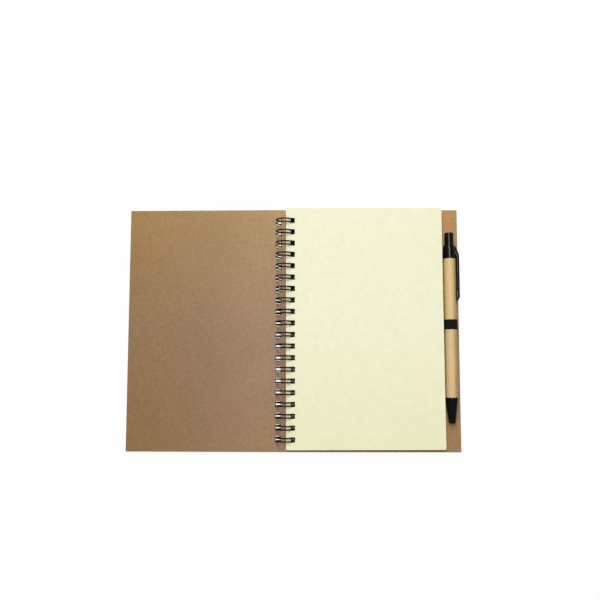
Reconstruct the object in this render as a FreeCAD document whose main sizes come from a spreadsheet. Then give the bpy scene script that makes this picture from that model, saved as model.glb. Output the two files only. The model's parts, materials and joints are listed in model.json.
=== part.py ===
import FreeCAD, Part

import math
import os

import Sketcher
from FreeCAD import Placement, Rotation, Vector

# A wire-bound notebook with kraft board covers, lying open at its front cover, with a push pen in an
# elastic loop on the wide margin of the back cover. Millimetres; +Z is up, the spine runs along Y, the
# front cover lies to -X and the pages to +X. The origin is on the table, under the middle of the notebook.

SIZES = {
    # boards
    "cover_height": 180.0,
    "back_cover_reach": 129.2,
    "board_thickness": 1.2,
    "spine_gap": 0.3,
    "front_overhang": 0.75,
    # page block
    "block_thickness": 8.0,
    "gap_under_pages": 0.05,
    "gap_over_pages": 0.25,
    "page_top_inset": 0.3,
    "page_foot_inset": 2.4,
    "page_pen_gap": 0.45,
    # punched holes and binding wire
    "hole_size": 4.0,
    "hole_margin": 2.6,
    "page_hole_width": 3.25,
    "page_hole_margin": 3.35,
    "loop_pitch": 8.4667,
    "end_margin": 7.5,
    "wire_diameter": 1.0,
    "leg_clearance": 0.275,
    "board_play": 0.28,
    "page_play": 0.5,
    "seam_clearance": 0.1,
    # pen, lengths along its axis
    "pen_nose_drop": 68.8,
    "tip_length": 18.8,
    "tip_rim": 1.6,
    "barrel_length": 102.1,
    "housing_length": 9.9,
    "housing_taper": 2.2,
    "button_exposed": 9.6,
    "spigot_length": 7.0,
    # pen, radii
    "barrel_radius": 4.4,
    "barrel_wall": 0.6,
    "spigot_play": 0.02,
    "housing_radius": 4.65,
    "housing_top_radius": 4.25,
    "tip_radius": 4.8,
    "nose_radius": 2.45,
    "nose_rounding": 0.8,
    "pen_seat_gap": 0.02,
    # clip moulded on the housing
    "clip_reach": 6.9,
    "clip_thickness": 1.8,
    "clip_width": 4.2,
    "clip_length": 40.8,
    "clip_rise": 7.0,
    "clip_root": 0.8,
    "clip_bump_length": 3.2,
    "clip_bump_gap": 0.1,
    "clip_edge_margin": 0.2,
    # push mechanism
    "button_radius": 3.4,
    "button_play": 0.1,
    "button_rounding": 0.9,
    "button_travel": 5.0,
    "lip_thickness": 1.2,
    "flange_radius": 3.8,
    "flange_thickness": 1.0,
    "flange_play": 0.15,
    "stop_gap": 0.05,
    "stem_radius": 2.6,
    "stem_length": 10.0,
    "stem_play": 0.3,
    "rotor_radius": 2.1,
    "rotor_length": 8.0,
    "fin_radius": 2.7,
    "fin_width": 0.9,
    "fin_length": 5.0,
    "fin_count": 4.0,
    "socket_depth": 3.0,
    # refill and its spring
    "tube_radius": 1.55,
    "tube_bore": 1.0,
    "refill_play": 0.02,
    "point_radius": 1.15,
    "point_ball": 0.35,
    "point_cone": 3.0,
    "point_recess": 2.0,
    "point_stem": 4.0,
    "nose_play": 0.1,
    "collar_radius": 2.15,
    "collar_thickness": 1.2,
    "spring_seat": 6.5,
    "spring_length": 14.0,
    "spring_wire": 0.36,
    "spring_radius": 1.8,
    "spring_turns": 7.0,
    "spring_bore": 2.4,
    # elastic loop round the pen
    "loop_centre": 3.25,
    "loop_width": 7.1,
    "loop_thickness": 0.6,
    "loop_play": 0.1,
    "slit_play": 0.1,
    "leg_recess": 0.1,
}

doc = FreeCAD.newDocument("Notebook")
sheet = doc.addObject("Spreadsheet::Sheet", "Sizes")
for row, (alias, value) in enumerate(SIZES.items(), 1):
    sheet.set("A%d" % row, alias)
    sheet.set("B%d" % row, str(value))
    sheet.setAlias("B%d" % row, alias)
doc.recompute()


def size(alias):
    return float(sheet.get(alias))


# Expressions that several pieces share. Across the spine they count from the ring axis: x outwards
# over the back cover, and the boards' faces as heights above or below that axis.
INNER_FACE = "(Sizes.block_thickness + Sizes.gap_under_pages + Sizes.gap_over_pages) / 2"
OUTER_FACE = "(%s + Sizes.board_thickness)" % INNER_FACE
BOARD_EDGE = "Sizes.spine_gap / 2"
BOARD_BAR = "(%s + Sizes.hole_margin)" % BOARD_EDGE
RING_INNER = "sqrt(%s ^ 2 + (%s + Sizes.board_play) ^ 2)" % (OUTER_FACE, BOARD_BAR)
PAGE_HOLE_FAR = "(%s + Sizes.wire_diameter + Sizes.page_play)" % RING_INNER
PAGE_HOLE_NEAR = "(%s - Sizes.page_hole_width)" % PAGE_HOLE_FAR
PAGE_EDGE = "(%s - Sizes.page_hole_margin)" % PAGE_HOLE_NEAR
LOOP_OUTER = "(Sizes.barrel_radius + Sizes.loop_play + Sizes.loop_thickness)"
PEN_AXIS = "(Sizes.back_cover_reach - Sizes.clip_edge_margin - Sizes.clip_reach)"
PEN_WIDEST = "max(%s; Sizes.tip_radius; Sizes.housing_radius)" % LOOP_OUTER
PAGE_FORE_EDGE = "(%s - %s - Sizes.page_pen_gap)" % (PEN_AXIS, PEN_WIDEST)
FRONT_REACH = "(%s + Sizes.front_overhang)" % PAGE_FORE_EDGE
PAGE_TOP = "(Sizes.cover_height / 2 - Sizes.page_top_inset)"
PAGE_FOOT = "(Sizes.page_foot_inset - Sizes.cover_height / 2)"
PEN_SEAT = "(max(Sizes.tip_radius; Sizes.housing_radius) + Sizes.pen_seat_gap)"

# Along the pen, counted from the nose.
BARREL_TOP = "(Sizes.tip_length + Sizes.barrel_length)"
HOUSING_TOP = "(%s + Sizes.housing_length)" % BARREL_TOP
BUTTON_TOP = "(%s + Sizes.button_exposed)" % HOUSING_TOP
FLANGE_TOP = "(%s - Sizes.lip_thickness - Sizes.stop_gap)" % HOUSING_TOP
FLANGE_BOTTOM = "(%s - Sizes.flange_thickness)" % FLANGE_TOP
STEM_BOTTOM = "(%s - Sizes.stem_length)" % FLANGE_BOTTOM
ROTOR_BOTTOM = "(%s - Sizes.rotor_length)" % STEM_BOTTOM
COLLAR_BOTTOM = "(Sizes.spring_seat + Sizes.spring_length)"
COLLAR_TOP = "(%s + Sizes.collar_thickness)" % COLLAR_BOTTOM
SPIGOT_RADIUS = "(Sizes.barrel_radius - Sizes.barrel_wall - Sizes.spigot_play)"
CHAMBER_RADIUS = "(Sizes.flange_radius + Sizes.flange_play)"
CHAMBER_BOTTOM = "(%s - Sizes.button_travel - Sizes.stem_play)" % FLANGE_BOTTOM
CLIP_INNER = "(Sizes.clip_reach - Sizes.clip_thickness)"
CLIP_BOTTOM = "(%s - Sizes.clip_length)" % HOUSING_TOP

# The same shared values as numbers, for the places and for the wire's path.
inner_face = (size("block_thickness") + size("gap_under_pages") + size("gap_over_pages")) / 2
outer_face = inner_face + size("board_thickness")
board_bar = size("spine_gap") / 2 + size("hole_margin")
wire_radius = size("wire_diameter") / 2
ring_radius = math.hypot(outer_face, board_bar + size("board_play")) + wire_radius
leg_spacing = size("hole_size") - size("wire_diameter") - 2 * size("leg_clearance")
bend_radius = leg_spacing / 2
bend_reach = leg_spacing + size("wire_diameter") + size("seam_clearance")
seam_half = math.sqrt(bend_reach ** 2 - leg_spacing ** 2) / 2
seam_angle = math.asin(seam_half / ring_radius)
loop_count = int((size("cover_height") - 2 * size("end_margin")) / size("loop_pitch")) + 1
loop_span = (loop_count - 1) * size("loop_pitch")

# The rings stand on the table, and each side slopes from them until its fore edge touches the table.
axis_height = ring_radius * math.cos(seam_angle) + bend_radius * math.sin(seam_angle) + wire_radius
loop_outer = size("barrel_radius") + size("loop_play") + size("loop_thickness")
pen_axis = size("back_cover_reach") - size("clip_edge_margin") - size("clip_reach")
pen_widest = max(loop_outer, size("tip_radius"), size("housing_radius"))
front_reach = pen_axis - pen_widest - size("page_pen_gap") + size("front_overhang")
pen_height = max(size("tip_radius"), size("housing_radius")) + size("pen_seat_gap") - inner_face


def slope(reach):
    """Angle at which a side's lower fore edge, this far from the ring axis, meets the table."""
    return math.asin(axis_height / math.hypot(reach, outer_face)) - math.atan2(outer_face, reach)


back_slope = slope(size("back_cover_reach"))
front_slope = slope(front_reach)
board_right = size("back_cover_reach") * math.cos(back_slope) - inner_face * math.sin(back_slope)
board_left = front_reach * math.cos(front_slope) - inner_face * math.sin(front_slope)
ring_axis = Vector((board_left - board_right) / 2, 0, axis_height)
back_side = Placement(ring_axis, Rotation(Vector(0, 1, 0), math.degrees(back_slope)))
front_side = Placement(ring_axis, Rotation(Vector(0, 1, 0), -math.degrees(front_slope)))


def shifted(side, x, y, z):
    """Placement at a point that is given in the frame of one sloping side."""
    return side.multiply(Placement(Vector(x, y, z), Rotation()))


def origin_item(body, role):
    return next(item for item in body.Origin.OriginFeatures if item.Role == role)


def new_body(label):
    body = doc.addObject("PartDesign::Body", label)
    body.Label = label
    return body


def outline_sketch(body, name, plane, *outlines):
    """Sketch of closed outlines. Each corner is a pair of expressions for its two coordinates."""
    sketch = body.newObject("Sketcher::SketchObject", name)
    sketch.AttachmentSupport = (origin_item(body, plane), [""])
    sketch.MapMode = "FlatFace"
    for corners in outlines:
        first = sketch.GeometryCount
        count = len(corners)
        start = [Vector(math.cos(2 * math.pi * i / count), math.sin(2 * math.pi * i / count), 0)
                 for i in range(count)]
        for i in range(count):
            sketch.addGeometry(Part.LineSegment(start[i], start[(i + 1) % count]), False)
        for i in range(count):
            following = first + (i + 1) % count
            sketch.addConstraint(Sketcher.Constraint("Coincident", first + i, 2, following, 1))
        for i, corner in enumerate(corners):
            for kind, place in zip(("DistanceX", "DistanceY"), corner):
                number = sketch.addConstraint(Sketcher.Constraint(kind, -1, 1, first + i, 1, 0.0))
                if place != "0":
                    sketch.setExpression("Constraints[%d]" % number, place)
    return sketch


def rectangle(x_low, x_high, y_low, y_high):
    return [(x_low, y_low), (x_high, y_low), (x_high, y_high), (x_low, y_high)]


def pad(body, sketch, length):
    feature = body.newObject("PartDesign::Pad", sketch.Name + "Pad")
    feature.Profile = sketch
    feature.setExpression("Length", length)
    sketch.Visibility = False
    return feature


def centred_pad(body, sketch, width):
    """Pad that reaches half its width to each side of the sketch's plane."""
    sketch.setExpression("AttachmentOffset.Base.z", "-%s / 2" % width)
    return pad(body, sketch, width)


def cut_through(body, sketch):
    feature = body.newObject("PartDesign::Pocket", sketch.Name + "Cut")
    feature.Profile = sketch
    feature.Type = "ThroughAll"
    feature.Reversed = True
    return feature


def turned(body, sketch, kind="PartDesign::Revolution"):
    """Solid, or with Groove a cut, turned round the sketch's vertical axis."""
    feature = body.newObject(kind, sketch.Name + "Turned")
    feature.Profile = sketch
    feature.ReferenceAxis = (sketch, ["V_Axis"])
    feature.Angle = 360
    return feature


def rounded_rim(body, feature, radius, along, rounding):
    """Fillet on the circular edge of this radius at this distance along the pen."""
    doc.recompute()
    near = 1e-4
    names = []
    for number, edge in enumerate(feature.Shape.Edges, 1):
        curve = edge.Curve
        if isinstance(curve, Part.Circle) and abs(curve.Radius - radius) < near:
            if abs(curve.Center.y - along) < near:
                names.append("Edge%d" % number)
    fillet = body.newObject("PartDesign::Fillet", feature.Name + "Rim")
    fillet.Base = (feature, names)
    fillet.setExpression("Radius", rounding)
    return fillet


def punched_row(body, near_wall, width, sign=""):
    """One hole at the foot of the spine, repeated up the spine at the wire's pitch."""
    low = "-(%.9f) / 2" % loop_span
    hole = outline_sketch(body, body.Label + "_hole", "XY_Plane", rectangle(
        "%s(%s)" % (sign, near_wall),
        "%s(%s + %s)" % (sign, near_wall, width),
        "%s - Sizes.hole_size / 2" % low,
        "%s + Sizes.hole_size / 2" % low))
    cut = cut_through(body, hole)
    row = body.newObject("PartDesign::LinearPattern", body.Label + "_holes")
    row.Originals = [cut]
    row.Direction = (origin_item(body, "Y_Axis"), [""])
    row.Length = loop_span
    row.Occurrences = loop_count
    body.Tip = row
    return row


def cover_board(label, reach, sign=""):
    """Board from its spine edge to its fore edge, with the row of punched holes."""
    body = new_body(label)
    sheet_outline = outline_sketch(body, label + "_board", "XY_Plane", rectangle(
        "%s(%s)" % (sign, BOARD_EDGE), "%s(%s)" % (sign, reach),
        "-Sizes.cover_height / 2", "Sizes.cover_height / 2"))
    pad(body, sheet_outline, "Sizes.board_thickness")
    punched_row(body, BOARD_BAR, "Sizes.hole_size", sign)
    return body


def front_cover():
    body = cover_board("front_cover", FRONT_REACH, sign="-")
    body.Placement = shifted(front_side, 0, 0, -outer_face)
    return body


def back_cover():
    """Wide board with two slits for the ends of the pen loop."""
    body = cover_board("back_cover", "Sizes.back_cover_reach")
    slits = []
    y_low = "Sizes.loop_centre - Sizes.loop_width / 2 - Sizes.slit_play"
    y_high = "Sizes.loop_centre + Sizes.loop_width / 2 + Sizes.slit_play"
    for sign in "-+":
        near = "%s %s (%s - Sizes.loop_thickness - Sizes.slit_play)" % (PEN_AXIS, sign, LOOP_OUTER)
        far = "%s %s (%s + Sizes.slit_play)" % (PEN_AXIS, sign, LOOP_OUTER)
        slits.append(rectangle(near, far, y_low, y_high))
    cut_through(body, outline_sketch(body, "loop_slits", "XY_Plane", *slits))
    body.Placement = shifted(back_side, 0, 0, -outer_face)
    return body


def page_block():
    body = new_body("page_block")
    pages = outline_sketch(body, "pages", "XY_Plane", rectangle(
        PAGE_EDGE, PAGE_FORE_EDGE, PAGE_FOOT, PAGE_TOP))
    pad(body, pages, "Sizes.block_thickness")
    punched_row(body, PAGE_HOLE_NEAR, "Sizes.page_hole_width")
    body.Placement = shifted(back_side, 0, 0, size("gap_under_pages") - inner_face)
    return body


def ring_point(angle, along):
    """Point of the wire's centre line on the ring, by its angle from the lowest point towards +X."""
    return Vector(ring_radius * math.sin(angle), along, -ring_radius * math.cos(angle))


def bend(skin, section, centre, axis, degrees):
    """Adds the skin of one round bend and returns the wire's section at its end."""
    skin.extend(section.revolve(centre, axis, degrees).Faces)
    after = section.copy()
    after.rotate(centre, axis, degrees)
    return after


def wire_faces():
    """Round skin of the whole wire, bend by bend, and the two cut ends.

    The wire climbs from the seam over the left of each ring to the seam's other side, turns back in
    a half bend, returns beside itself and runs along the spine to the next pair.
    """
    spine = Vector(0, 1, 0)
    middle = Vector(0, 0, 0)
    right_out = Vector(math.sin(seam_angle), 0, -math.cos(seam_angle))
    left_out = Vector(-math.sin(seam_angle), 0, -math.cos(seam_angle))
    sweep = 360 - 2 * math.degrees(seam_angle)
    link = size("loop_pitch") - 2 * leg_spacing
    first = -loop_span / 2
    heading = Vector(-math.cos(seam_angle), 0, math.sin(seam_angle))
    start = ring_point(-seam_angle, first - bend_radius)
    section = Part.Edge(Part.Circle(start, heading, wire_radius))
    skin = []
    ends = [section]
    for number in range(loop_count):
        along = first + number * size("loop_pitch")
        section = bend(skin, section, middle, spine, sweep)
        section = bend(skin, section, ring_point(seam_angle, along), right_out, 180)
        section = bend(skin, section, middle, spine * -1, sweep)
        if number < loop_count - 1:
            corner = ring_point(-seam_angle, along + leg_spacing)
            section = bend(skin, section, corner, left_out, -90)
            skin.extend(section.extrude(spine * link).Faces)
            section.translate(spine * link)
            corner = ring_point(-seam_angle, along + size("loop_pitch") - leg_spacing)
            section = bend(skin, section, corner, left_out, -90)
    ends.append(section)
    return skin + end_faces(ends)


def end_faces(edges):
    return [Part.Face(Part.Wire([edge])) for edge in edges]


def solid_of(faces):
    skin = Part.Shell(faces)
    skin.sewShape()
    solid = Part.Solid(skin.Shells[0])
    if solid.Volume < 0:
        solid.reverse()
    return solid


def binding_wire():
    feature = doc.addObject("Part::Feature", "binding_wire")
    feature.Shape = solid_of(wire_faces())
    feature.Placement = Placement(ring_axis, Rotation())
    return feature


def pen_placement():
    return shifted(back_side, pen_axis, -size("pen_nose_drop"), pen_height)


def pen_barrel():
    """Rolled paper tube."""
    body = new_body("pen_barrel")
    bore = "Sizes.barrel_radius - Sizes.barrel_wall"
    turned(body, outline_sketch(body, "barrel_wall_section", "XY_Plane", rectangle(
        bore, "Sizes.barrel_radius", "Sizes.tip_length", BARREL_TOP)))
    body.Placement = pen_placement()
    return body


def pen_tip():
    """Tapered nose with a spigot in the barrel, a chamber for the spring and a bore for the point."""
    body = new_body("pen_tip")
    spigot_end = "Sizes.tip_length + Sizes.spigot_length"
    nose_bore = "Sizes.point_radius + Sizes.nose_play"
    section = outline_sketch(body, "tip_section", "XY_Plane", [
        (nose_bore, "0"),
        ("Sizes.nose_radius", "0"),
        ("Sizes.tip_radius", "Sizes.tip_length - Sizes.tip_rim"),
        ("Sizes.tip_radius", "Sizes.tip_length"),
        (SPIGOT_RADIUS, "Sizes.tip_length"),
        (SPIGOT_RADIUS, spigot_end),
        ("Sizes.spring_bore", spigot_end),
        ("Sizes.spring_bore", "Sizes.spring_seat"),
        (nose_bore, "Sizes.spring_seat")])
    nose = turned(body, section)
    rounded_rim(body, nose, size("nose_radius"), 0, "Sizes.nose_rounding")
    body.Placement = pen_placement()
    return body


def pen_housing():
    """Top of the pen: a spigot in the barrel, a chamber for the button's flange, and the clip."""
    body = new_body("pen_housing")
    spigot_end = "%s - Sizes.spigot_length" % BARREL_TOP
    shell = outline_sketch(body, "housing_section", "XY_Plane", [
        ("0", spigot_end),
        (SPIGOT_RADIUS, spigot_end),
        (SPIGOT_RADIUS, BARREL_TOP),
        ("Sizes.housing_radius", BARREL_TOP),
        ("Sizes.housing_radius", "%s - Sizes.housing_taper" % HOUSING_TOP),
        ("Sizes.housing_top_radius", HOUSING_TOP),
        ("0", HOUSING_TOP)])
    turned(body, shell)
    root = "Sizes.housing_top_radius - Sizes.clip_root"
    bend_height = "%s - Sizes.clip_rise" % HOUSING_TOP
    bump_top = "%s + 2 * Sizes.clip_bump_length" % CLIP_BOTTOM
    clip = outline_sketch(body, "clip_section", "XY_Plane", [
        (root, HOUSING_TOP),
        ("Sizes.housing_top_radius", HOUSING_TOP),
        ("Sizes.clip_reach", bend_height),
        ("Sizes.clip_reach", "%s + Sizes.clip_thickness" % CLIP_BOTTOM),
        ("%s + Sizes.clip_thickness / 3" % CLIP_INNER, CLIP_BOTTOM),
        (CLIP_INNER, CLIP_BOTTOM),
        ("Sizes.barrel_radius + Sizes.clip_bump_gap", "%s + Sizes.clip_bump_length" % CLIP_BOTTOM),
        (CLIP_INNER, bump_top),
        (CLIP_INNER, "%s - Sizes.clip_thickness / 2" % bend_height),
        (root, "%s + Sizes.clip_thickness" % bend_height)])
    centred_pad(body, clip, "Sizes.clip_width")
    mouth = "Sizes.button_radius + Sizes.button_play"
    lip_face = "%s - Sizes.lip_thickness" % HOUSING_TOP
    stem_bore = "Sizes.stem_radius + Sizes.stem_play"
    bore = outline_sketch(body, "housing_bore", "XY_Plane", [
        ("0", spigot_end),
        (stem_bore, spigot_end),
        (stem_bore, CHAMBER_BOTTOM),
        (CHAMBER_RADIUS, CHAMBER_BOTTOM),
        (CHAMBER_RADIUS, lip_face),
        (mouth, lip_face),
        (mouth, HOUSING_TOP),
        ("0", HOUSING_TOP)])
    turned(body, bore, "PartDesign::Groove")
    body.Placement = pen_placement()
    return body


def push_button():
    body = new_body("push_button")
    section = outline_sketch(body, "button_section", "XY_Plane", [
        ("0", STEM_BOTTOM),
        ("Sizes.stem_radius", STEM_BOTTOM),
        ("Sizes.stem_radius", FLANGE_BOTTOM),
        ("Sizes.flange_radius", FLANGE_BOTTOM),
        ("Sizes.flange_radius", FLANGE_TOP),
        ("Sizes.button_radius", FLANGE_TOP),
        ("Sizes.button_radius", BUTTON_TOP),
        ("0", BUTTON_TOP)])
    button = turned(body, section)
    top = size("tip_length") + size("barrel_length") + size("housing_length") + size("button_exposed")
    rounded_rim(body, button, size("button_radius"), top, "Sizes.button_rounding")
    body.Placement = pen_placement()
    return body


def cam_rotor():
    """Finned rotor between the button's stem and the refill, with a socket for the tube."""
    body = new_body("cam_rotor")
    socket = "Sizes.tube_radius + Sizes.refill_play"
    section = outline_sketch(body, "rotor_section", "XY_Plane", [
        (socket, ROTOR_BOTTOM),
        ("Sizes.rotor_radius", ROTOR_BOTTOM),
        ("Sizes.rotor_radius", STEM_BOTTOM),
        ("0", STEM_BOTTOM),
        ("0", "%s + Sizes.socket_depth" % ROTOR_BOTTOM),
        (socket, "%s + Sizes.socket_depth" % ROTOR_BOTTOM)])
    turned(body, section)
    fin = outline_sketch(body, "fin_section", "XY_Plane", rectangle(
        "(Sizes.rotor_radius + %s) / 2" % socket, "Sizes.fin_radius",
        "%s - Sizes.fin_length" % STEM_BOTTOM, STEM_BOTTOM))
    fins = body.newObject("PartDesign::PolarPattern", "fins")
    fins.Originals = [centred_pad(body, fin, "Sizes.fin_width")]
    fins.Axis = (origin_item(body, "Y_Axis"), [""])
    fins.Angle = 360
    fins.setExpression("Occurrences", "Sizes.fin_count")
    body.Tip = fins
    body.Placement = pen_placement()
    return body


def refill_tube():
    body = new_body("refill_tube")
    turned(body, outline_sketch(body, "tube_section", "XY_Plane", rectangle(
        "Sizes.tube_bore", "Sizes.tube_radius", COLLAR_TOP,
        "%s + Sizes.socket_depth" % ROTOR_BOTTOM)))
    body.Placement = pen_placement()
    return body


def refill_point():
    """Writing point with the collar that the spring pushes and a stem in the tube."""
    body = new_body("refill_point")
    stem = "Sizes.tube_bore - Sizes.refill_play"
    stem_top = "%s + Sizes.point_stem" % COLLAR_TOP
    turned(body, outline_sketch(body, "point_section", "XY_Plane", [
        ("0", "Sizes.point_recess"),
        ("Sizes.point_ball", "Sizes.point_recess"),
        ("Sizes.point_radius", "Sizes.point_recess + Sizes.point_cone"),
        ("Sizes.point_radius", COLLAR_BOTTOM),
        ("Sizes.collar_radius", COLLAR_BOTTOM),
        ("Sizes.collar_radius", COLLAR_TOP),
        (stem, COLLAR_TOP),
        (stem, stem_top),
        ("0", stem_top)]))
    body.Placement = pen_placement()
    return body


def pen_spring():
    """Coil between the nose's inner shoulder and the point's collar: half turns that climb in turn."""
    wire = size("spring_wire") / 2
    half_turns = round(2 * size("spring_turns"))
    climb = (size("spring_length") - size("spring_wire")) / half_turns
    section = Part.Edge(Part.Circle(Vector(size("spring_radius"), 0, 0), Vector(0, 1, 0), wire))
    skin = []
    ends = [section]
    tilt = climb / 2
    for number in range(half_turns):
        centre = Vector(0, 0, (number + 0.5) * climb)
        section = bend(skin, section, centre, Vector(tilt, 0, size("spring_radius")), 180)
        tilt = -tilt
    ends.append(section)
    feature = doc.addObject("Part::Feature", "pen_spring")
    feature.Shape = solid_of(skin + end_faces(ends))
    upright = Placement(Vector(0, size("spring_seat") + wire, 0), Rotation(Vector(1, 0, 0), -90))
    feature.Placement = pen_placement().multiply(upright)
    return feature


def named(kind, label, **expressions):
    item = doc.addObject(kind, label)
    item.Label = label
    for prop, expression in expressions.items():
        item.setExpression(prop, expression)
    return item


def pen_loop():
    """Elastic arch over the barrel with both ends down in the back cover's slits."""
    bore = "(%s - Sizes.loop_thickness)" % LOOP_OUTER
    leg = "(%s + Sizes.board_thickness - Sizes.leg_recess)" % PEN_SEAT
    solids = []
    for name, radius in (("outside", LOOP_OUTER), ("inside", bore)):
        arch = named("Part::Cylinder", "loop_arch_" + name, Radius=radius, Height="Sizes.loop_width")
        arch.Placement = Placement(Vector(), Rotation(Vector(1, 0, 0), -90))
        legs = named("Part::Box", "loop_legs_" + name, Length="2 * " + radius,
                     Width="Sizes.loop_width", Height=leg)
        legs.setExpression("Placement.Base.x", "-" + radius)
        legs.setExpression("Placement.Base.z", "-" + leg)
        both = named("Part::Fuse", "loop_" + name)
        both.Base, both.Tool = arch, legs
        solids.append(both)
    band = named("Part::Cut", "pen_loop")
    band.Base, band.Tool = solids
    low = size("loop_centre") - size("loop_width") / 2
    band.Placement = shifted(back_side, pen_axis, low, pen_height)
    return band


MAKERS = [front_cover, back_cover, page_block, binding_wire, pen_loop, pen_barrel, pen_housing,
          push_button, cam_rotor, refill_tube, refill_point, pen_spring, pen_tip]
pieces = [make() for make in MAKERS]
doc.recompute()

for item in doc.Objects:
    if {"Invalid", "Error"} & set(item.State):
        raise RuntimeError("%s failed: %s" % (item.Label, item.State))
for item in pieces:
    shape = item.Shape
    if shape.isNull() or not shape.isValid() or len(shape.Solids) != 1:
        raise RuntimeError("%s is not one valid solid" % item.Label)
for body in (item for item in pieces if item.TypeId == "PartDesign::Body"):
    cuts = [f for f in body.Group if f.TypeId in ("PartDesign::Pocket", "PartDesign::Groove")]
    for cut in cuts:
        if cut.Shape.Volume >= cut.BaseFeature.Shape.Volume:
            raise RuntimeError("%s cuts nothing" % cut.Label)

os.makedirs("parts", exist_ok=True)
for item in pieces:
    item.Shape.exportStep(os.path.join("parts", item.Label + ".step"))
    print("%-14s %10.1f mm3" % (item.Label, item.Shape.Volume))
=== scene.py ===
import json
import math

import bmesh
import bpy
from mathutils import Matrix, Vector


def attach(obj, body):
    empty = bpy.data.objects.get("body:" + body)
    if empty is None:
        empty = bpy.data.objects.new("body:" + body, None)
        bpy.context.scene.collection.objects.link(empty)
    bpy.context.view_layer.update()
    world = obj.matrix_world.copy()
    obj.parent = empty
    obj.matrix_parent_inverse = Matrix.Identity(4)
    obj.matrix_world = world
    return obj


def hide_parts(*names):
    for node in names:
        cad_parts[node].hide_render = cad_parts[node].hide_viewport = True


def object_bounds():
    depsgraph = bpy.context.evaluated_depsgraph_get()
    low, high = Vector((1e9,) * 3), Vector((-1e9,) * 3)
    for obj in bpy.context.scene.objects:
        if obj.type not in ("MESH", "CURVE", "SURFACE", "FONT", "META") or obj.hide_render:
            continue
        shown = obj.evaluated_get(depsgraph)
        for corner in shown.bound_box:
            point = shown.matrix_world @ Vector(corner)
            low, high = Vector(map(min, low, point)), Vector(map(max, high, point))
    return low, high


# A wire-bound notebook with kraft board covers, lying open, with a push pen in an elastic loop.
# Lengths are in millimetres and MM turns them into metres. Names that end in _m, lamp and floor sizes
# and distances of bumps are in metres.

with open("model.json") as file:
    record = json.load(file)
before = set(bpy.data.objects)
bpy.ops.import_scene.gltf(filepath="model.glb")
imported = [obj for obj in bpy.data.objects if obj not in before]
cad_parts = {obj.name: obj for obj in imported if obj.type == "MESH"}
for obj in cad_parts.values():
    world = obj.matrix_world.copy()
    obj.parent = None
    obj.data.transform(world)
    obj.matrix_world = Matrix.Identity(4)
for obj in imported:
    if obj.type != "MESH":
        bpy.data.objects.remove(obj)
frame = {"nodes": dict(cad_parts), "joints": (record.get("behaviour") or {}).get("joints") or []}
cad_box = [list(corner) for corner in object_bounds()]
MM = 0.001

# Boards, pages and wire.
BACK_REACH = 129.2
BOARD_HEIGHT = 180.0
BOARD_EDGE_ROUNDING = 0.16
INNER_FACE = 4.15
BOARD = 1.2
OUTER_FACE = INNER_FACE + BOARD
SHEETS = 70
BLOCK = 8.0
GAP_UNDER_PAGES = 0.05
SHEET_FILL = 0.86
PAGE_SPINE_EDGE = 1.05
PAGE_FORE_EDGE = 116.55
PAGE_FOOT = -87.6
PAGE_HEAD = 89.7
PAGE_CORNER = 1.2
HOLE = 4.0
PAGE_HOLE_NEAR = 4.398
PAGE_HOLE_WIDTH = 3.25
SHEET_STRAY = 0.07
STACK_TURN = math.radians(0.18)
STACK_SHIFT = (-0.15, -0.12, 0)
LOOPS = 20
PITCH = 8.4667
WIRE_RADIUS = 0.5
RING_RADIUS = 6.6484
LEG_SPACING = 2.45
SEAM_HALF = 1.2845
LOOP_PLACES = [(number - (LOOPS - 1) / 2) * PITCH for number in range(LOOPS)]

# Pen, along its axis from the nose, and its radii.
PEN_AXIS = 122.1
PEN_HEIGHT = 0.67
NOSE_DROP = 68.8
TIP_LENGTH = 18.8
BARREL_TOP = TIP_LENGTH + 102.1
HOUSING_TOP = BARREL_TOP + 9.9
BUTTON_TOP = HOUSING_TOP + 9.6
BARREL_RADIUS = 4.4
BARREL_BORE = 3.8
HOUSING_RADIUS = 4.65
HOUSING_TOP_RADIUS = 4.25
TIP_RADIUS = 4.8
NOSE_RADIUS = 2.45
NOSE_BORE = 1.25
NOSE_DEPTH = 6.5
CHAMBER_RADIUS = 2.4
TIP_BAND = 0.8
TIP_SHOULDER = 2.4
TIP_TAPER = 0.12
SPIGOT_RADIUS = 3.78
SPIGOT = 7.0
HOUSING_BORE = 2.9
HOUSING_SHOULDER = 2.2
MOUTH_RADIUS = 3.5
MOUTH_DEPTH = 1.2
RECESS_RADIUS = 3.95
RECESS_FLOOR = HOUSING_TOP - 7.55
BUTTON_RADIUS = 3.4
BUTTON_CROWN = 0.2
FLANGE_RADIUS = 3.8
FLANGE_TOP = HOUSING_TOP - 1.25
FLANGE = 1.0
STEM_RADIUS = 2.6
STEM_FOOT = FLANGE_TOP - 11.0
CLIP_REACH = 6.9
CLIP_THICKNESS = 1.8
CLIP_WIDTH = 4.2
CLIP_FOOT = HOUSING_TOP - 40.8
CLIP_BEND = HOUSING_TOP - 7.0
CLIP_TOP = HOUSING_TOP - 0.3
CLIP_BUMP = 3.2
LOOP_CENTRE = 3.25
LOOP_WIDTH = 7.1
LOOP_THICKNESS = 0.6
LOOP_BORE = 4.5
LOOP_RIBS = 12
YARN = 0.62

# Meshing. A round piece without a bore closes to within AXIS_RADIUS of its axis.
AXIS_RADIUS = 0.02
SHARP_EDGE = math.radians(40)
CORNER_STEPS = 4

ring_axis = Vector(next(j["pos_m"] for j in frame["joints"] if j["name"] == "front_cover_turn"))


def back_side():
    """Frame of the sloping back cover, in millimetres from the ring axis, with X away from the spine."""
    height = ring_axis.z / MM
    slope = math.asin(height / math.hypot(BACK_REACH, OUTER_FACE)) - math.atan2(OUTER_FACE, BACK_REACH)
    return Matrix.Translation(ring_axis) @ Matrix.Rotation(slope, 4, "Y") @ Matrix.Scale(MM, 4)


BACK_SIDE = back_side()
PEN = BACK_SIDE @ Matrix.Translation((PEN_AXIS, -NOSE_DROP, PEN_HEIGHT))


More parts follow.
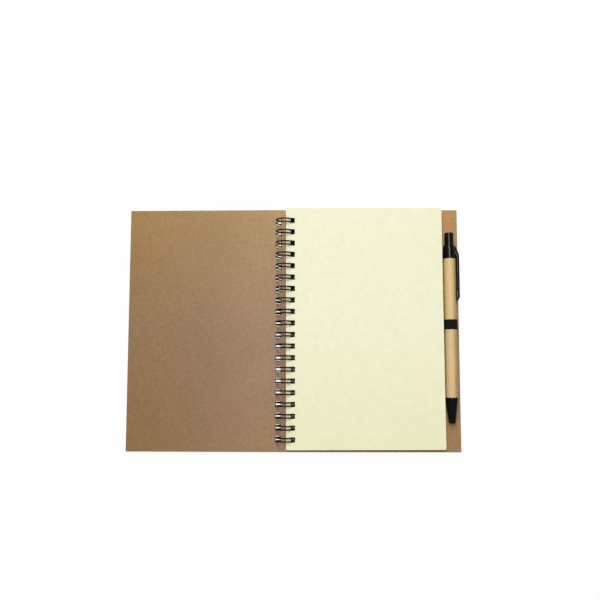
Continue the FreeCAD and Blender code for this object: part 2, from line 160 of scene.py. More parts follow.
# Small helpers for node trees.

def add(tree, kind, settings=None, **inputs):
    """New node with its settings and its inputs. An input is a value or another node's socket."""
    node = tree.nodes.new(kind)
    for name, value in (settings or {}).items():
        setattr(node, name, value)
    for name, value in inputs.items():
        place(tree, node.inputs[name.replace("_", " ")], value)
    return node


def place(tree, socket, value):
    if isinstance(value, bpy.types.NodeSocket):
        tree.links.new(value, socket)
    else:
        socket.default_value = value


def maths(tree, operation, *values):
    """Result of one sum, from values or sockets."""
    node = tree.nodes.new("ShaderNodeMath")
    node.operation = operation
    for socket, value in zip(node.inputs, values):
        place(tree, socket, value)
    return node.outputs[0]


def colour(red, green, blue):
    """Scene-linear colour from the 0 to 255 values of a screen."""
    def linear(value):
        value /= 255
        return value / 12.92 if value <= 0.04045 else ((value + 0.055) / 1.055) ** 2.4
    return (linear(red), linear(green), linear(blue), 1.0)


def new_material(name):
    material = bpy.data.materials.new(name)
    material.use_nodes = True
    return material, material.node_tree, material.node_tree.nodes["Principled BSDF"]


def object_point(tree, scale=(1, 1, 1), turn=0.0):
    """Object coordinates, turned about the vertical and then stretched."""
    where = add(tree, "ShaderNodeTexCoord").outputs["Object"]
    if turn:
        about_z = {"rotation_type": "Z_AXIS"}
        where = add(tree, "ShaderNodeVectorRotate", about_z, Vector=where, Angle=turn).outputs[0]
    return add(tree, "ShaderNodeMapping", Vector=where, Scale=scale).outputs[0]


def split(tree, point):
    """X, Y and Z of a point, as three sockets."""
    return add(tree, "ShaderNodeSeparateXYZ", Vector=point).outputs


def noise(tree, point, scale, detail=3.0, roughness=0.5):
    node = add(tree, "ShaderNodeTexNoise", Vector=point, Scale=scale, Detail=detail, Roughness=roughness)
    return node.outputs["Fac"]


def ramp(tree, factor, *stops):
    """Colours or grey levels at positions along a factor."""
    node = add(tree, "ShaderNodeValToRGB", Fac=factor)
    elements = node.color_ramp.elements
    while len(elements) < len(stops):
        elements.new(0.5)
    for element, (position, value) in zip(elements, stops):
        element.position = position
        element.color = value if isinstance(value, tuple) else (value, value, value, 1.0)
    return node.outputs["Color"]


def mixed(tree, factor, first, second, blend="MIX"):
    """Colour between two others, or the product of the two with MULTIPLY as its blend."""
    node = tree.nodes.new("ShaderNodeMix")
    node.data_type = "RGBA"
    node.blend_type = blend
    place(tree, node.inputs["Factor"], factor)
    place(tree, node.inputs[6], first)
    place(tree, node.inputs[7], second)
    return node.outputs[2]


def tinted(tree, base, along, *stops):
    """Colour times the tints that lie at positions along a factor, each a share of red, green and blue."""
    tints = ramp(tree, along, *((position, (*tint, 1.0)) for position, tint in stops))
    return mixed(tree, 1.0, base, tints, "MULTIPLY")


def bump(tree, height, distance_m, strength=1.0, before=None):
    node = add(tree, "ShaderNodeBump", Height=height, Distance=distance_m, Strength=strength)
    if before is not None:
        tree.links.new(before, node.inputs["Normal"])
    return node.outputs["Normal"]


def from_foot(tree, point):
    """Share of the board's height at a point: 0 at the foot and 1 at the head."""
    return maths(tree, "ADD", maths(tree, "DIVIDE", split(tree, point)[1], BOARD_HEIGHT * MM), 0.5)


def from_left(tree, point):
    """Share of the open boards' width at a point: 0.5 at the spine."""
    off_spine = maths(tree, "SUBTRACT", split(tree, point)[0], ring_axis.x)
    return maths(tree, "ADD", maths(tree, "DIVIDE", off_spine, 2 * BACK_REACH * MM), 0.5)


# Materials.

def kraft_board(name, light, middle, dark, fleck_strength=0.5):
    """Unbleached board: clouded pulp, fine fibres lying all ways and sparse dark and pale flecks.

    Painted light and shade tint it brightest at the spine and the head, warmer and darker towards its outer
    edges, and darker towards the middle and the foot.
    """
    material, tree, shader = new_material(name)
    point = object_point(tree)
    clouds = noise(tree, point, 22.0, 4.0, 0.6)
    pulp = noise(tree, point, 420.0, 5.0, 0.65)
    fibres = 0.0
    for turn in (0.5, 1.6, 2.7):
        layer = noise(tree, object_point(tree, (420, 2600, 2600), turn), 1.0, 3.0, 0.6)
        fibres = maths(tree, "ADD", maths(tree, "MULTIPLY", layer, 1 / 3), fibres)
    tone = maths(tree, "ADD", maths(tree, "MULTIPLY", clouds, 0.12), maths(tree, "MULTIPLY", pulp, 0.5))
    tone = maths(tree, "ADD", tone, maths(tree, "MULTIPLY", fibres, 0.38))
    base = ramp(tree, tone, (0.34, dark), (0.5, middle), (0.66, light))
    # Painted light and shade: smooth tints across the boards and up them stand in for the light's falloff.
    base = tinted(tree, base, from_left(tree, point), (0.04, (0.76, 0.69, 0.52)),
                  (0.27, (0.81, 0.78, 0.73)), (0.5, (1.0, 1.0, 1.0)), (0.96, (1.0, 0.92, 0.72)))
    base = tinted(tree, base, from_foot(tree, point), (0.0, (0.80, 0.78, 0.77)),
                  (0.5, (0.82, 0.83, 0.92)), (1.0, (1.0, 1.0, 0.88)))
    cells = add(tree, "ShaderNodeTexVoronoi", Vector=point, Scale=900.0, Randomness=1.0)
    chance = add(tree, "ShaderNodeSeparateColor", Color=cells.outputs["Color"])
    near = ramp(tree, cells.outputs["Distance"], (0.12, 1.0), (0.3, 0.0))
    darker = maths(tree, "MULTIPLY", near, maths(tree, "GREATER_THAN", chance.outputs[0], 0.93))
    paler = maths(tree, "MULTIPLY", near, maths(tree, "LESS_THAN", chance.outputs[0], 0.07))
    base = mixed(tree, maths(tree, "MULTIPLY", darker, fleck_strength), base, colour(96, 70, 44))
    base = mixed(tree, maths(tree, "MULTIPLY", paler, fleck_strength * 0.7), base, colour(214, 186, 140))
    tree.links.new(base, shader.inputs["Base Color"])
    tree.links.new(ramp(tree, pulp, (0.3, 0.74), (0.7, 0.9)), shader.inputs["Roughness"])
    relief = bump(tree, fibres, 0.00006, 0.5)
    tree.links.new(bump(tree, pulp, 0.00012, 0.4, relief), shader.inputs["Normal"])
    shader.inputs["Specular IOR Level"].default_value = 0.25
    return material


def page_paper():
    """Uncoated cream paper: faint clouds, a fine tooth and a few fibres, with painted shade that makes it
    darker and yellower towards the foot.
    """
    material, tree, shader = new_material("cream_page_paper")
    point = object_point(tree)
    formation = noise(tree, point, 260.0, 5.0, 0.6)
    tooth = noise(tree, point, 3200.0, 2.0)
    base = ramp(tree, formation, (0.3, colour(241, 239, 206)), (0.7, colour(246, 245, 214)))
    for turn in (0.4, 2.2):
        hairs = noise(tree, object_point(tree, (600, 4200, 4200), turn), 1.0, 1.0)
        base = mixed(tree, ramp(tree, hairs, (0.68, 0.0), (0.8, 0.2)), base, colour(222, 214, 176))
    # Painted shade: the paper is tinted darker and yellower towards the foot, for the light's falloff.
    base = tinted(tree, base, from_foot(tree, point), (0.0, (0.98, 0.97, 0.89)), (0.55, (1.0, 1.0, 1.0)))
    tree.links.new(base, shader.inputs["Base Color"])
    tree.links.new(ramp(tree, tooth, (0.3, 0.82), (0.7, 0.94)), shader.inputs["Roughness"])
    tree.links.new(bump(tree, tooth, 0.00003, 0.4), shader.inputs["Normal"])
    shader.inputs["Specular IOR Level"].default_value = 0.2
    return material


def coated_wire():
    """Black coated steel wire, glossy, with the coating's slight waviness and rubbed spots."""
    material, tree, shader = new_material("black_coated_wire")
    point = object_point(tree)
    waves = noise(tree, point, 700.0, 3.0)
    rubbed = noise(tree, point, 240.0, 4.0, 0.7)
    base = ramp(tree, rubbed, (0.55, colour(4, 3, 3)), (0.8, colour(18, 14, 12)))
    tree.links.new(base, shader.inputs["Base Color"])
    tree.links.new(ramp(tree, rubbed, (0.35, 0.3), (0.7, 0.5)), shader.inputs["Roughness"])
    tree.links.new(bump(tree, waves, 0.00003, 0.5), shader.inputs["Normal"])
    shader.inputs["Specular IOR Level"].default_value = 0.12
    shader.inputs["Coat Weight"].default_value = 0.03
    shader.inputs["Coat Roughness"].default_value = 0.12
    return material


def moulded_plastic(name, tint, gloss):
    """Moulded plastic with faint flow marks and hairline scuffs."""
    material, tree, shader = new_material(name)
    flow = noise(tree, object_point(tree, (900, 160, 900)), 1.0, 3.0)
    scuffs = noise(tree, object_point(tree, (2400, 500, 2400)), 1.0, 2.0, 0.7)
    paler = tuple(min(1.0, part * 1.4 + 0.0005) for part in tint[:3]) + (1.0,)
    base = ramp(tree, flow, (0.3, tint), (0.75, paler))
    tree.links.new(base, shader.inputs["Base Color"])
    tree.links.new(ramp(tree, scuffs, (0.4, gloss), (0.75, gloss + 0.15)), shader.inputs["Roughness"])
    tree.links.new(bump(tree, flow, 0.00001, 0.3), shader.inputs["Normal"])
    shader.inputs["Specular IOR Level"].default_value = 0.25
    return material


def barrel_paper():
    """Smooth kraft paper rolled into a tube, its grain round the pen, with painted shade that makes its outer
    flank browner.
    """
    material, tree, shader = new_material("rolled_barrel_paper")
    pulp = noise(tree, object_point(tree), 650.0, 5.0, 0.6)
    grain = noise(tree, object_point(tree, (500, 3600, 500)), 1.0, 2.0)
    tone = maths(tree, "ADD", maths(tree, "MULTIPLY", pulp, 0.6), maths(tree, "MULTIPLY", grain, 0.4))
    base = ramp(tree, tone, (0.36, colour(208, 178, 121)), (0.5, colour(217, 188, 131)),
                (0.66, colour(223, 196, 140)))
    # Painted shade: the barrel's outer flank is tinted browner, as shading on the side away from the light.
    outward = maths(tree, "SUBTRACT", split(tree, object_point(tree))[0], PEN.to_translation().x)
    painted_shade_flank = maths(tree, "DIVIDE", outward, BARREL_RADIUS * MM)
    base = tinted(tree, base, painted_shade_flank, (0.25, (1.0, 1.0, 1.0)), (0.62, (0.72, 0.66, 0.60)),
                  (0.9, (0.62, 0.55, 0.48)))
    tree.links.new(base, shader.inputs["Base Color"])
    tree.links.new(ramp(tree, pulp, (0.3, 0.45), (0.7, 0.6)), shader.inputs["Roughness"])
    tree.links.new(bump(tree, tone, 0.00004, 0.35), shader.inputs["Normal"])
    return material


def woven_elastic():
    """Black woven elastic. Its map runs along the band in u and across it in v, in millimetres."""
    material, tree, shader = new_material("black_woven_elastic")
    band = split(tree, add(tree, "ShaderNodeUVMap", {"uv_map": "band"}).outputs[0])
    ribs = maths(tree, "DIVIDE", band[1], LOOP_WIDTH / LOOP_RIBS)
    shift = maths(tree, "MULTIPLY", maths(tree, "MODULO", maths(tree, "FLOOR", ribs), 2.0), 0.5)
    cell = maths(tree, "FRACT", maths(tree, "ADD", maths(tree, "DIVIDE", band[0], YARN), shift))
    yarn = maths(tree, "SINE", maths(tree, "MULTIPLY", cell, math.pi))
    rib = maths(tree, "SINE", maths(tree, "MULTIPLY", maths(tree, "FRACT", ribs), math.pi))
    height = maths(tree, "MULTIPLY", yarn, rib)
    base = ramp(tree, height, (0.1, colour(3, 3, 3)), (0.8, colour(11, 10, 10)), (0.98, colour(60, 50, 40)))
    tree.links.new(base, shader.inputs["Base Color"])
    tree.links.new(bump(tree, height, 0.00012, 0.8), shader.inputs["Normal"])
    shader.inputs["Roughness"].default_value = 0.75
    shader.inputs["Specular IOR Level"].default_value = 0.2
    return material


def drawn_metal(name, tint, rough):
    """Bright drawn or turned metal with fine marks round the pen's axis."""
    material, tree, shader = new_material(name)
    marks = noise(tree, object_point(tree, (300, 5200, 300)), 1.0, 2.0)
    darker = tuple(part * 0.85 for part in tint[:3]) + (1.0,)
    tree.links.new(ramp(tree, marks, (0.3, tint), (0.7, darker)), shader.inputs["Base Color"])
    tree.links.new(ramp(tree, marks, (0.3, rough), (0.7, rough + 0.15)), shader.inputs["Roughness"])
    shader.inputs["Metallic"].default_value = 1.0
    return material


KRAFT_FACE = kraft_board("kraft_board_face", colour(196, 163, 128), colour(183, 150, 116),
                         colour(168, 136, 103))
KRAFT_CUT = kraft_board("kraft_board_cut_edge", colour(180, 147, 108), colour(158, 126, 90),
                        colour(126, 98, 68), fleck_strength=0.2)
PAGES = page_paper()
WIRE = coated_wire()
BLACK_PLASTIC = moulded_plastic("black_pen_plastic", colour(7, 5, 5), 0.14)
BARREL_PAPER = barrel_paper()
ELASTIC = woven_elastic()
ROTOR_PLASTIC = moulded_plastic("white_rotor_plastic", colour(226, 226, 222), 0.4)
REFILL_PLASTIC = moulded_plastic("refill_tube_plastic", colour(58, 74, 140), 0.25)
POINT_BRASS = drawn_metal("refill_point_brass", colour(214, 176, 96), 0.22)
SPRING_STEEL = drawn_metal("spring_steel", colour(190, 190, 192), 0.25)


# Mesh helpers.

def show(mesh, name, *materials):
    """New object in the scene from a mesh."""
    for material in materials:
        mesh.materials.append(material)
    piece = bpy.data.objects.new(name, mesh)
    bpy.context.scene.collection.objects.link(piece)
    return piece


def shaded(builder, name):
    """Mesh of a bmesh, smooth but for its sharp edges."""
    for face in builder.faces:
        face.smooth = True
    for edge in builder.edges:
        edge.smooth = len(edge.link_faces) == 2 and edge.calc_face_angle(0.0) < SHARP_EDGE
    mesh = bpy.data.meshes.new(name)
    builder.to_mesh(mesh)
    builder.free()
    return mesh


def stands_for(piece, body, slot, *nodes):
    """Puts a piece on a body, in place of nodes of the CAD."""
    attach(piece, body)
    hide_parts(*nodes)


def cover_board(node, body):
    """Board of a cover with softly worn edges, its faces and its cut edges in two finishes."""
    up = Vector((0, 0, 1))
    builder = bmesh.new()
    builder.from_mesh(frame["nodes"][node].data)
    bmesh.ops.remove_doubles(builder, verts=builder.verts, dist=1e-6)
    bmesh.ops.dissolve_limit(builder, angle_limit=math.radians(1), verts=builder.verts, edges=builder.edges)
    corners = [edge for edge in builder.edges if edge.calc_face_angle(0.0) > math.radians(30)]
    bmesh.ops.bevel(builder, geom=corners, offset=BOARD_EDGE_ROUNDING * MM, segments=3, profile=0.5,
                    affect="EDGES", clamp_overlap=True)
    for face in builder.faces:
        face.material_index = 0 if abs(face.normal.dot(up)) > 0.5 else 1
    piece = show(shaded(builder, node + "_board"), node + "_board", KRAFT_FACE, KRAFT_CUT)
    stands_for(piece, body, "kraft_board", node)


def rounded_profile(corners, radius):
    """Closed outline with each corner turned by a small curve, no longer than its sides allow."""
    smooth = []
    for i, corner in enumerate(corners):
        here, before, after = Vector(corner), Vector(corners[i - 1]), Vector(corners[(i + 1) % len(corners)])
        back, ahead = before - here, after - here
        reach = min(radius, back.length * 0.45, ahead.length * 0.45)
        start, end = here + back.normalized() * reach, here + ahead.normalized() * reach
        for step in range(CORNER_STEPS + 1):
            t = step / CORNER_STEPS
            smooth.append(start * (1 - t) ** 2 + here * 2 * t * (1 - t) + end * t ** 2)
    return smooth


def turned(name, corners, rounding, material, segments=72):
    """Round piece of the pen from the outline of its wall: pairs of radius and place along the pen."""
    outline = rounded_profile(corners, rounding)
    builder = bmesh.new()
    rings = []
    for number in range(segments):
        angle = 2 * math.pi * number / segments
        rings.append([builder.verts.new(PEN @ Vector((p.x * math.cos(angle), p.y, p.x * math.sin(angle))))
                      for p in outline])
    count = len(outline)
    for number, ring in enumerate(rings):
        beside = rings[(number + 1) % segments]
        for i in range(count):
            j = (i + 1) % count
            builder.faces.new((ring[i], ring[j], beside[j], beside[i]))
    bmesh.ops.recalc_face_normals(builder, faces=builder.faces)
    return show(shaded(builder, name), name, material)


def grid_piece(name, rows, material, band_map=None):
    """Closed skin over rows of points, each row a closed loop, with both ends shut."""
    builder = bmesh.new()
    verts = [[builder.verts.new(point) for point in row] for row in rows]
    layer = builder.loops.layers.uv.new("band") if band_map else None
    count = len(rows[0])
    for r in range(len(rows) - 1):
        for i in range(count):
            j = (i + 1) % count
            face = builder.faces.new((verts[r][i], verts[r][j], verts[r + 1][j], verts[r + 1][i]))
            if layer:
                for loop, (row, column) in zip(face.loops, ((r, i), (r, i + 1), (r + 1, i + 1), (r + 1, i))):
                    loop[layer].uv = band_map(row, column)
    builder.faces.new(verts[0])
    builder.faces.new(verts[-1])
    bmesh.ops.recalc_face_normals(builder, faces=builder.faces)
    return show(shaded(builder, name), name, material)


# Geometry Nodes trees.

def new_tree(name, *inputs):
    """Geometry Nodes tree with named inputs: pairs of a name and a socket type."""
    tree = bpy.data.node_groups.new(name, "GeometryNodeTree")
    tree.interface.new_socket("Geometry", in_out="INPUT", socket_type="NodeSocketGeometry")
    for label, kind in inputs:
        tree.interface.new_socket(label, in_out="INPUT", socket_type=kind)
    tree.interface.new_socket("Geometry", in_out="OUTPUT", socket_type="NodeSocketGeometry")
    return tree, tree.nodes.new("NodeGroupInput").outputs, tree.nodes.new("NodeGroupOutput").inputs[0]


def made_by_nodes(source, tree, name, **values):
    """Plain mesh piece that the tree makes from the source object, which is then removed."""
    modifier = source.modifiers.new(tree.name, "NODES")
    modifier.node_group = tree
    for item in tree.interface.items_tree:
        label = item.name.replace(" ", "_")
        if item.in_out == "INPUT" and label in values:
            modifier[item.identifier] = values[label]
    ready = source.evaluated_get(bpy.context.evaluated_depsgraph_get())
    mesh = bpy.data.meshes.new_from_object(ready)
    mesh.name = name
    bpy.data.objects.remove(source)
    return show(mesh, name)


def wire_path():
    """Centre line of the whole wire, from one cut end to the other."""
    seam = math.asin(SEAM_HALF / RING_RADIUS)
    bend = LEG_SPACING / 2
    ring_steps, bend_steps = 72, 10
    points = []

    def on_ring(angle, along):
        return Vector((RING_RADIUS * math.sin(angle), along, -RING_RADIUS * math.cos(angle)))

    def leg(along, start, end):
        for step in range(ring_steps + 1):
            points.append(on_ring(start + (end - start) * step / ring_steps, along))

    def turn(angle, towards, centre, start, end):
        """Arc in the plane that touches the ring at this angle, by its angles from the spine."""
        middle = on_ring(angle, centre)
        tangent = Vector((math.cos(angle), 0, math.sin(angle))) * towards
        for step in range(1, bend_steps):
            a = start + (end - start) * step / bend_steps
            points.append(middle + Vector((0, bend * math.cos(a), 0)) + tangent * (bend * math.sin(a)))

    for number, along in enumerate(LOOP_PLACES):
        leg(along - bend, -seam, seam - 2 * math.pi)
        turn(seam, -1, along, math.pi, 0)
        leg(along + bend, seam - 2 * math.pi, -seam)
        if number < LOOPS - 1:
            turn(-seam, 1, along + LEG_SPACING, math.pi, math.pi / 2)
            far = along + PITCH - LEG_SPACING
            for centre in (along + LEG_SPACING, far):
                tangent = Vector((math.cos(seam), 0, -math.sin(seam)))
                points.append(on_ring(-seam, centre) + tangent * bend)
            turn(-seam, 1, far, math.pi / 2, 0)
    return [ring_axis + point * MM for point in points]


def binding_wire():
    """Round wire along the whole path, one closed tube."""
    tree, inputs, output = new_tree("wire_round_path", ("Wire Radius", "NodeSocketFloat"),
                                    ("Facets", "NodeSocketInt"))
    section = add(tree, "GeometryNodeCurvePrimitiveCircle", Resolution=inputs["Facets"],
                  Radius=inputs["Wire Radius"])
    skin = tree.nodes.new("GeometryNodeCurveToMesh")
    tree.links.new(inputs["Geometry"], skin.inputs["Curve"])
    tree.links.new(section.outputs[0], skin.inputs["Profile Curve"])
    skin.inputs["Fill Caps"].default_value = True
    smooth = add(tree, "GeometryNodeSetShadeSmooth", Geometry=skin.outputs[0])
    whole = add(tree, "GeometryNodeRealizeInstances", Geometry=smooth.outputs[0])
    coated = add(tree, "GeometryNodeSetMaterial", Geometry=whole.outputs[0], Material=WIRE)
    tree.links.new(coated.outputs[0], output)
    line = bpy.data.curves.new("wire_path", "CURVE")
    line.dimensions = "3D"
    points = wire_path()
    spline = line.splines.new("POLY")
    spline.points.add(len(points) - 1)
    for target, point in zip(spline.points, points):
        target.co = (*point, 1.0)
    source = bpy.data.objects.new("wire_path", line)
    bpy.context.scene.collection.objects.link(source)
    piece = made_by_nodes(source, tree, "binding_wire_round", Wire_Radius=WIRE_RADIUS * MM, Facets=16)
    stands_for(piece, "back", "coated_wire", "binding_wire")


def sheet_with_holes():
    """Thin sheet of paper with its row of punched holes, the lowest of the stack.

    Its walls are made one by one, because an extrusion gives their order anew at each run.
    """
    thickness = BLOCK / SHEETS * SHEET_FILL
    bottom = GAP_UNDER_PAGES - INNER_FACE
    xs = [PAGE_SPINE_EDGE, PAGE_HOLE_NEAR, PAGE_HOLE_NEAR + PAGE_HOLE_WIDTH, PAGE_FORE_EDGE]
    ys = [PAGE_FOOT] + [place_y + end * HOLE / 2 for place_y in LOOP_PLACES for end in (-1, 1)] + [PAGE_HEAD]
    builder = bmesh.new()
    flat = [[builder.verts.new((x, y, bottom)) for y in ys] for x in xs]
    for column in range(len(xs) - 1):
        for row in range(len(ys) - 1):
            punched = column == 1 and row % 2 == 1
            if not punched:
                builder.faces.new((flat[column][row], flat[column + 1][row],
                                   flat[column + 1][row + 1], flat[column][row + 1]))
    corners = [flat[column][row] for column in (0, -1) for row in (0, -1)]
    bmesh.ops.bevel(builder, geom=corners, offset=PAGE_CORNER, segments=5, profile=0.5, affect="VERTICES")
    underside = list(builder.faces)
    rims = [edge.verts[:] for edge in builder.edges if edge.is_boundary]
    above = {vert: builder.verts.new(vert.co + Vector((0, 0, thickness))) for vert in list(builder.verts)}
    for face in underside:
        builder.faces.new([above[vert] for vert in face.verts])
    for start, end in rims:
        builder.faces.new((start, end, above[end], above[start]))
    bmesh.ops.recalc_face_normals(builder, faces=builder.faces)
    mesh = bpy.data.meshes.new("sheet")
    builder.to_mesh(mesh)
    builder.free()
    source = bpy.data.objects.new("sheet", mesh)
    bpy.context.scene.collection.objects.link(source)
    return source


def page_stack():
    """Stack of loose sheets, each a hair out of line with the next, a little turned on the wire."""
    tree, inputs, output = new_tree("stack_of_sheets", ("Sheets", "NodeSocketInt"),
                                    ("Sheet Pitch", "NodeSocketFloat"), ("Uneven", "NodeSocketFloat"),
                                    ("Seed", "NodeSocketInt"))
    rise = add(tree, "ShaderNodeCombineXYZ", Z=inputs["Sheet Pitch"])
    column = add(tree, "GeometryNodeMeshLine", {"mode": "OFFSET"}, Count=inputs["Sheets"],
                 Offset=rise.outputs[0])
    negative = maths(tree, "MULTIPLY", inputs["Uneven"], -1.0)
    low = add(tree, "ShaderNodeCombineXYZ", X=negative, Y=negative)
    high = add(tree, "ShaderNodeCombineXYZ", X=inputs["Uneven"], Y=inputs["Uneven"])
    stray = add(tree, "FunctionNodeRandomValue", {"data_type": "FLOAT_VECTOR"}, Seed=inputs["Seed"])
    tree.links.new(low.outputs[0], stray.inputs[0])
    tree.links.new(high.outputs[0], stray.inputs[1])
    strayed = add(tree, "GeometryNodeSetPosition", Geometry=column.outputs[0], Offset=stray.outputs[0])
    copies = add(tree, "GeometryNodeInstanceOnPoints", Points=strayed.outputs[0], Instance=inputs["Geometry"])
    whole = add(tree, "GeometryNodeRealizeInstances", Geometry=copies.outputs[0])
    papered = add(tree, "GeometryNodeSetMaterial", Geometry=whole.outputs[0], Material=PAGES)
    tree.links.new(papered.outputs[0], output)
    piece = made_by_nodes(sheet_with_holes(), tree, "page_stack", Sheets=SHEETS, Sheet_Pitch=BLOCK / SHEETS,
                          Uneven=SHEET_STRAY, Seed=4)
    pivot = Matrix.Translation((PAGE_HOLE_NEAR + PAGE_HOLE_WIDTH / 2, 0, 0))
    turn = pivot @ Matrix.Rotation(STACK_TURN, 4, "Z") @ pivot.inverted()
    piece.data.transform(BACK_SIDE @ Matrix.Translation(STACK_SHIFT) @ turn)
    stands_for(piece, "pages", "page_paper", "page_block")


def pen_loop():
    """Elastic band over the barrel, ribbed across its width, with both ends down in the slits."""
    short_of_outside = 0.1
    leg = PEN_HEIGHT + OUTER_FACE - short_of_outside
    arch_steps, leg_steps, rib_steps = 48, 10, 6
    middle = LOOP_BORE + LOOP_THICKNESS / 2
    path = [(Vector((-middle, 0, -leg + leg * i / leg_steps)), Vector((-1, 0, 0))) for i in range(leg_steps)]
    for i in range(arch_steps + 1):
        angle = math.pi * (1 - i / arch_steps)
        out = Vector((math.cos(angle), 0, math.sin(angle)))
        path.append((out * middle, out))
    path += [(Vector((middle, 0, -leg * i / leg_steps)), Vector((1, 0, 0))) for i in range(1, leg_steps + 1)]
    lengths = [0.0]
    for (a, _), (b, _) in zip(path, path[1:]):
        lengths.append(lengths[-1] + (b - a).length)
    across = [i / (LOOP_RIBS * rib_steps) for i in range(LOOP_RIBS * rib_steps + 1)]
    rib_height, half = 0.08, LOOP_THICKNESS / 2
    foot = NOSE_DROP + LOOP_CENTRE - LOOP_WIDTH / 2
    rows = []
    for centre, out in path:
        face = [centre + out * (half - rib_height + rib_height * abs(math.sin(math.pi * LOOP_RIBS * v)))
                + Vector((0, foot + v * LOOP_WIDTH, 0)) for v in across]
        underside = [centre - out * half + Vector((0, foot + v * LOOP_WIDTH, 0)) for v in (1.0, 0.0)]
        rows.append([PEN @ point for point in face + underside])

    def band_map(row, column):
        v = across[column] if column < len(across) else (1.0 if column == len(across) else 0.0)
        return (lengths[row], v * LOOP_WIDTH)

    piece = grid_piece("pen_loop_band", rows, ELASTIC, band_map)
    stands_for(piece, "back", "elastic", "pen_loop")


def pen_clip():
    """Springy clip that bends out of the housing's top and bears on the barrel with its bump."""
    toe, over_barrel, slant, in_housing, edge_rounding = 0.6, 0.1, 0.9, 0.8, 0.35
    inner = CLIP_REACH - CLIP_THICKNESS
    root = HOUSING_TOP_RADIUS - in_housing
    outline = rounded_profile([
        (root, CLIP_TOP), (HOUSING_TOP_RADIUS, CLIP_TOP), (CLIP_REACH, CLIP_BEND),
        (CLIP_REACH, CLIP_FOOT + CLIP_THICKNESS), (inner + toe, CLIP_FOOT), (inner, CLIP_FOOT),
        (BARREL_RADIUS + over_barrel, CLIP_FOOT + CLIP_BUMP), (inner, CLIP_FOOT + 2 * CLIP_BUMP),
        (inner, CLIP_BEND - slant), (root, CLIP_BEND + CLIP_THICKNESS)], radius=1.2)
    builder = bmesh.new()
    half = CLIP_WIDTH / 2
    low = [builder.verts.new((p.x, p.y, -half)) for p in outline]
    high = [builder.verts.new((p.x, p.y, half)) for p in outline]
    builder.faces.new(low)
    builder.faces.new(high)
    for i in range(len(outline)):
        j = (i + 1) % len(outline)
        builder.faces.new((low[i], low[j], high[j], high[i]))
    bmesh.ops.recalc_face_normals(builder, faces=builder.faces)
    rims = [edge for edge in builder.edges if edge.calc_face_angle(0.0) > math.radians(60)]
    bmesh.ops.bevel(builder, geom=rims, offset=edge_rounding, segments=3, profile=0.5, affect="EDGES",
                    clamp_overlap=True)
    builder.transform(PEN)
    piece = show(shaded(builder, "pen_clip"), "pen_clip", BLACK_PLASTIC)
    stands_for(piece, "back", "pen_plastic", "pen_housing")


def pen():
    """The pen's outer pieces. Its inner ones are shown as the CAD has them."""
    barrel = turned("pen_barrel_tube", [
        (BARREL_BORE, TIP_LENGTH), (BARREL_RADIUS, TIP_LENGTH), (BARREL_RADIUS, BARREL_TOP),
        (BARREL_BORE, BARREL_TOP)], rounding=0.12, material=BARREL_PAPER, segments=96)
    stands_for(barrel, "back", "barrel_paper", "pen_barrel")
    spigot_top = TIP_LENGTH + SPIGOT
    tip = turned("pen_tip_cone", [
        (NOSE_BORE, 0), (NOSE_RADIUS, 0), (TIP_RADIUS - TIP_TAPER, TIP_LENGTH - TIP_SHOULDER),
        (TIP_RADIUS, TIP_LENGTH - TIP_BAND), (TIP_RADIUS, TIP_LENGTH), (SPIGOT_RADIUS, TIP_LENGTH),
        (SPIGOT_RADIUS, spigot_top), (CHAMBER_RADIUS, spigot_top), (CHAMBER_RADIUS, NOSE_DEPTH),
        (NOSE_BORE, NOSE_DEPTH)], rounding=1.1, material=BLACK_PLASTIC)
    stands_for(tip, "back", "pen_plastic", "pen_tip")
    spigot_foot = BARREL_TOP - SPIGOT
    mouth_floor = HOUSING_TOP - MOUTH_DEPTH
    housing = turned("pen_housing_shell", [
        (HOUSING_BORE, spigot_foot), (SPIGOT_RADIUS, spigot_foot), (SPIGOT_RADIUS, BARREL_TOP),
        (HOUSING_RADIUS, BARREL_TOP), (HOUSING_RADIUS, HOUSING_TOP - HOUSING_SHOULDER),
        (HOUSING_TOP_RADIUS, HOUSING_TOP), (MOUTH_RADIUS, HOUSING_TOP), (MOUTH_RADIUS, mouth_floor),
        (RECESS_RADIUS, mouth_floor), (RECESS_RADIUS, RECESS_FLOOR), (HOUSING_BORE, RECESS_FLOOR)],
        rounding=0.25, material=BLACK_PLASTIC)
    stands_for(housing, "back", "pen_plastic", "pen_housing")
    flange_foot = FLANGE_TOP - FLANGE
    button = turned("pen_push_button", [
        (AXIS_RADIUS, STEM_FOOT), (STEM_RADIUS, STEM_FOOT), (STEM_RADIUS, flange_foot),
        (FLANGE_RADIUS, flange_foot), (FLANGE_RADIUS, FLANGE_TOP), (BUTTON_RADIUS, FLANGE_TOP),
        (BUTTON_RADIUS, BUTTON_TOP - BUTTON_CROWN), (STEM_RADIUS, BUTTON_TOP), (AXIS_RADIUS, BUTTON_TOP)],
        rounding=0.4, material=BLACK_PLASTIC)
    stands_for(button, "pen_push", "pen_plastic", "push_button")
    pen_clip()


def under_cover(tree, place_m):
    """1 on the floor under the back cover and the gap at the spine, and 0 elsewhere."""
    beyond_axis, inside_edge = 3.5 * MM, 2 * MM
    spot = split(tree, place_m)
    right_of_gap = maths(tree, "GREATER_THAN", spot[0], ring_axis.x - beyond_axis)
    left_of_edge = maths(tree, "LESS_THAN", spot[0], cad_box[1][0] - inside_edge)
    between_ends = maths(tree, "LESS_THAN", maths(tree, "ABSOLUTE", spot[1]), cad_box[1][1] - inside_edge)
    return maths(tree, "MULTIPLY", maths(tree, "MULTIPLY", right_of_gap, left_of_edge), between_ends)


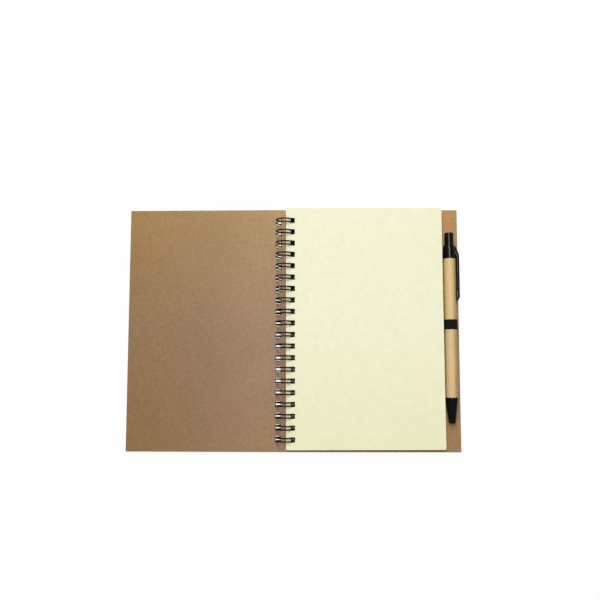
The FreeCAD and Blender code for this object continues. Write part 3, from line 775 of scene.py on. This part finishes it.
def studio_floor():
    """White floor that glows evenly for the camera alone, but not where the back cover lies on it."""
    half_size_m, drop_m, glow_share = 4.0, 0.0002, 0.93
    builder = bmesh.new()
    bmesh.ops.create_grid(builder, x_segments=1, y_segments=1, size=half_size_m)
    mesh = bpy.data.meshes.new("floor")
    builder.to_mesh(mesh)
    builder.free()
    material, tree, shader = new_material("white_floor")
    shader.inputs["Base Color"].default_value = (0.92, 0.92, 0.92, 1.0)
    shader.inputs["Roughness"].default_value = 0.9
    glow = add(tree, "ShaderNodeEmission", Color=(1, 1, 1, 1), Strength=1.0)
    seen = add(tree, "ShaderNodeLightPath").outputs["Is Camera Ray"]
    position = add(tree, "ShaderNodeNewGeometry").outputs["Position"]
    open_floor = maths(tree, "SUBTRACT", 1.0, under_cover(tree, position))
    share = maths(tree, "MULTIPLY", maths(tree, "MULTIPLY", seen, glow_share), open_floor)
    both = tree.nodes.new("ShaderNodeMixShader")
    tree.links.new(share, both.inputs[0])
    tree.links.new(shader.outputs[0], both.inputs[1])
    tree.links.new(glow.outputs[0], both.inputs[2])
    tree.links.new(both.outputs[0], tree.nodes["Material Output"].inputs["Surface"])
    floor = show(mesh, "floor", material)
    floor.location.z = -drop_m


def studio_light():
    """Sky that the camera sees white and that lights the object dimly, and one long soft lamp."""
    sky_light = 0.27
    world = bpy.data.worlds.new("soft_sky")
    bpy.context.scene.world = world
    world.use_nodes = True
    tree = world.node_tree
    sky = tree.nodes["Background"]
    sky.inputs["Color"].default_value = (1.0, 1.0, 1.0, 1.0)
    seen = add(tree, "ShaderNodeLightPath").outputs["Is Camera Ray"]
    backdrop = maths(tree, "MULTIPLY", seen, 1 - sky_light)
    tree.links.new(maths(tree, "ADD", backdrop, sky_light), sky.inputs["Strength"])
    lamp_data = bpy.data.lights.new("softbox", "AREA")
    lamp_data.shape = "RECTANGLE"
    lamp_data.size, lamp_data.size_y = 0.45, 1.6
    lamp_data.energy = 25.5
    lamp = bpy.data.objects.new("softbox", lamp_data)
    lamp.location = (-0.15, 0.6, 1.6)
    lamp.rotation_euler = (-lamp.location).to_track_quat("-Z", "Y").to_euler()
    bpy.context.scene.collection.objects.link(lamp)


def camera():
    """Camera half a metre above the notebook, right of the spine and below the middle of the boards."""
    data = bpy.data.cameras.new("camera")
    data.sensor_width = 36.0
    data.lens = 43.875
    seat = bpy.data.objects.new("camera", data)
    seat.location = (ring_axis.x + 19.25 * MM, -31.55 * MM, 545.57 * MM)
    seat.rotation_euler = (0.098, 0.015, 0.001)
    bpy.context.scene.collection.objects.link(seat)
    bpy.context.scene.camera = seat


cover_board("front_cover", "front")
cover_board("back_cover", "back")
page_stack()
binding_wire()
pen_loop()
pen()
for node, material in (("cam_rotor", ROTOR_PLASTIC), ("refill_tube", REFILL_PLASTIC),
                       ("refill_point", POINT_BRASS), ("pen_spring", SPRING_STEEL)):
    inner = frame["nodes"][node].data
    inner.materials.clear()
    inner.materials.append(material)

studio_floor()
studio_light()
camera()
bpy.context.scene.view_settings.view_transform = "Standard"
